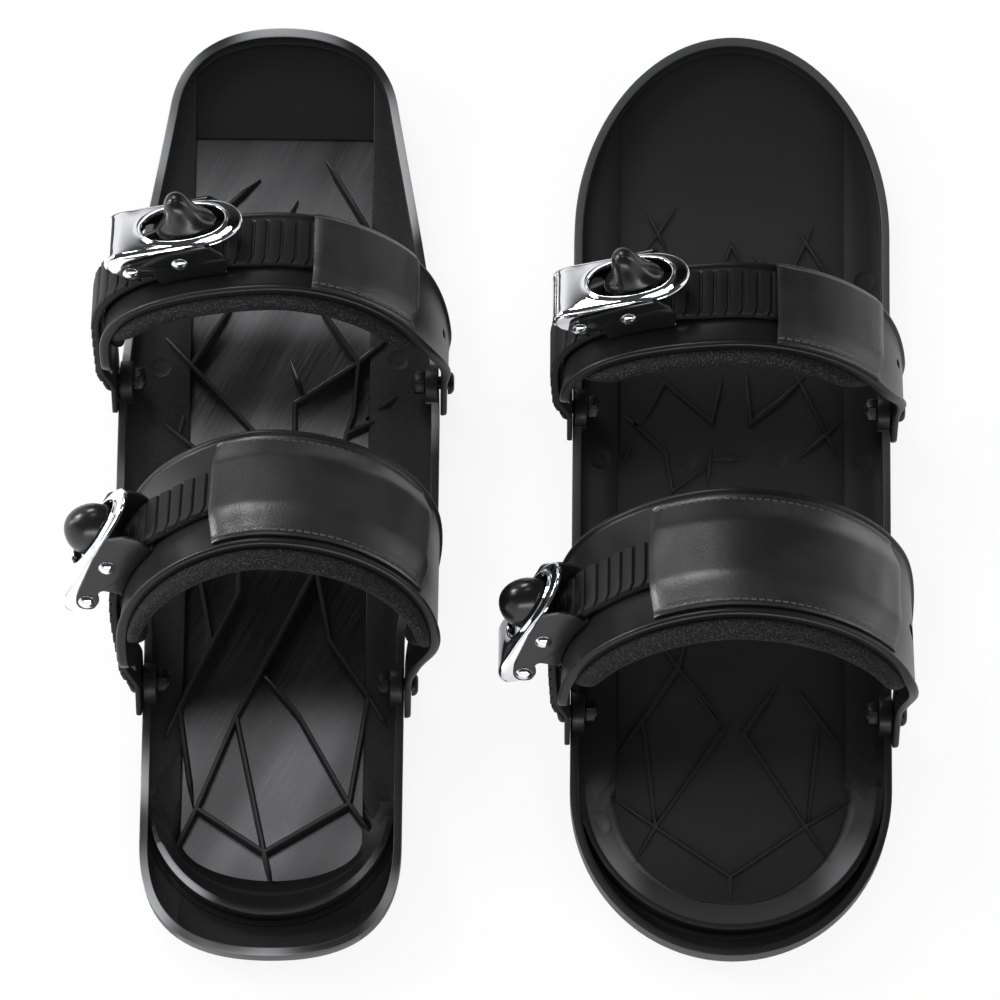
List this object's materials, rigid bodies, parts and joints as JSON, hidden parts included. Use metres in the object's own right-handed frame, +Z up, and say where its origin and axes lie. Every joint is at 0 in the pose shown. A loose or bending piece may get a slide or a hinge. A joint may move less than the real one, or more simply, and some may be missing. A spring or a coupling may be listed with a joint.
{
  "type": "pair of skiboards",
  "caption": "Two short plastic boards worn over boots, each with a ratchet toe strap, a ratchet ankle strap, a rimmed ribbed deck and a raised heel cup.",
  "frame": {"origin": "centre of the pair's bounding box at its lowest level, on the snow side of the decks", "axes": "+X to the wearer's right, +Y towards the toes, +Z up"},
  "size_m": [0.3852, 0.4346, 0.1407],
  "materials": {
    "deck": "moulded black nylon, semi-gloss, grainy on its ledges",
    "sole": "brushed steel sheet",
    "ladder": "matte black moulded ladder strap",
    "strap": "satin black moulded strap with raised edges",
    "foam": "fabric-faced black foam",
    "cover": "black imitation leather with sewn edges",
    "buckle_steel": "dark satin steel plate",
    "lever": "polished chrome",
    "tab": "black moulded plastic",
    "spring": "spring steel wire",
    "pin": "bright riveted pin",
    "fastener": "black oxide steel"
  },
  "bodies": {
    "boards": {"left_ankle_ladder_bolt": "fastener", "left_ankle_ladder_nut": "fastener", "left_ankle_strap_bolt": "fastener", "left_ankle_strap_nut": "fastener", "left_deck": "deck", "left_sole_plate": "sole", "left_toe_ladder_bolt": "fastener", "left_toe_ladder_nut": "fastener", "left_toe_strap_bolt": "fastener", "left_toe_strap_nut": "fastener", "right_ankle_ladder_bolt": "fastener", "right_ankle_ladder_nut": "fastener", "right_ankle_strap_bolt": "fastener", "right_ankle_strap_nut": "fastener", "right_deck": "deck", "right_toe_ladder_bolt": "fastener", "right_toe_ladder_nut": "fastener", "right_toe_strap_bolt": "fastener", "right_toe_strap_nut": "fastener"},
    "left_toe_binding": {"left_toe_ladder": "ladder", "left_toe_strap": "strap", "left_toe_liner": "foam", "left_toe_cover": "cover", "left_toe_buckle_base": "buckle_steel", "left_toe_lever_pin": "pin", "left_toe_release_pin": "pin", "left_toe_pawl_spring": "spring"},
    "left_toe_lever": {"left_toe_lever": "lever"},
    "left_toe_release": {"left_toe_release_tab": "tab"},
    "left_ankle_binding": {"left_ankle_ladder": "ladder", "left_ankle_strap": "strap", "left_ankle_liner": "foam", "left_ankle_cover": "cover", "left_ankle_buckle_base": "buckle_steel", "left_ankle_lever_pin": "pin", "left_ankle_release_pin": "pin", "left_ankle_pawl_spring": "spring"},
    "left_ankle_lever": {"left_ankle_lever": "lever"},
    "left_ankle_release": {"left_ankle_release_tab": "tab"},
    "right_toe_binding": {"right_toe_ladder": "ladder", "right_toe_strap": "strap", "right_toe_liner": "foam", "right_toe_cover": "cover", "right_toe_buckle_base": "buckle_steel", "right_toe_lever_pin": "pin", "right_toe_release_pin": "pin", "right_toe_pawl_spring": "spring"},
    "right_toe_lever": {"right_toe_lever": "lever"},
    "right_toe_release": {"right_toe_release_tab": "tab"},
    "right_ankle_binding": {"right_ankle_ladder": "ladder", "right_ankle_strap": "strap", "right_ankle_liner": "foam", "right_ankle_cover": "cover", "right_ankle_buckle_base": "buckle_steel", "right_ankle_lever_pin": "pin", "right_ankle_release_pin": "pin", "right_ankle_pawl_spring": "spring"},
    "right_ankle_lever": {"right_ankle_lever": "lever"},
    "right_ankle_release": {"right_ankle_release_tab": "tab"}
  },
  "joints": [
    {"name": "left_toe_swing", "type": "hinge", "parent": "boards", "child": "left_toe_binding", "pos_m": [-0.09662, 0.0519, 0.017], "axis": [-1, 0, 0], "range_deg": [-10, 30]},
    {"name": "left_toe_lever_pivot", "type": "hinge", "parent": "left_toe_binding", "child": "left_toe_lever", "pos_m": [-0.16064, 0.08945, 0.10134], "axis": [0, -0.9135, 0.4067], "range_deg": [0, 66]},
    {"name": "left_toe_release_press", "type": "hinge", "parent": "left_toe_binding", "child": "left_toe_release", "pos_m": [-0.13862, 0.09215, 0.10741], "axis": [0, 0.9135, -0.4067], "range_deg": [0, 15], "stiffness_Nm_per_rad": 0.15, "springref_deg": -11.46},
    {"name": "left_ankle_swing", "type": "hinge", "parent": "boards", "child": "left_ankle_binding", "pos_m": [-0.09662, -0.0906, 0.017], "axis": [-1, 0, 0], "range_deg": [-30, 12]},
    {"name": "left_ankle_lever_pivot", "type": "hinge", "parent": "left_ankle_binding", "child": "left_ankle_lever", "pos_m": [-0.17818, -0.05618, 0.07209], "axis": [0, -0.848, 0.5299], "range_deg": [0, 75]},
    {"name": "left_ankle_release_press", "type": "hinge", "parent": "left_ankle_binding", "child": "left_ankle_release", "pos_m": [-0.16849, -0.04512, 0.08978], "axis": [0, 0.848, -0.5299], "range_deg": [0, 15], "stiffness_Nm_per_rad": 0.15, "springref_deg": -11.46},
    {"name": "right_toe_swing", "type": "hinge", "parent": "boards", "child": "right_toe_binding", "pos_m": [0.11138, 0.0411, 0.017], "axis": [-1, 0, 0], "range_deg": [-10, 30]},
    {"name": "right_toe_lever_pivot", "type": "hinge", "parent": "right_toe_binding", "child": "right_toe_lever", "pos_m": [0.04032, 0.07003, 0.08861], "axis": [0, -0.9272, 0.3746], "range_deg": [0, 66]},
    {"name": "right_toe_release_press", "type": "hinge", "parent": "right_toe_binding", "child": "right_toe_release", "pos_m": [0.062, 0.0729, 0.09572], "axis": [0, 0.9272, -0.3746], "range_deg": [0, 15], "stiffness_Nm_per_rad": 0.15, "springref_deg": -11.46},
    {"name": "right_ankle_swing", "type": "hinge", "parent": "boards", "child": "right_ankle_binding", "pos_m": [0.11138, -0.1022, 0.017], "axis": [-1, 0, 0], "range_deg": [-30, 12]},
    {"name": "right_ankle_lever_pivot", "type": "hinge", "parent": "right_ankle_binding", "child": "right_ankle_lever", "pos_m": [0.01683, -0.08195, 0.05508], "axis": [0, -0.8829, 0.4695], "range_deg": [0, 42]},
    {"name": "right_ankle_release_press", "type": "hinge", "parent": "right_ankle_binding", "child": "right_ankle_release", "pos_m": [0.02537, -0.07193, 0.07393], "axis": [0, 0.8829, -0.4695], "range_deg": [0, 15], "stiffness_Nm_per_rad": 0.15, "springref_deg": -11.46}
  ]
}
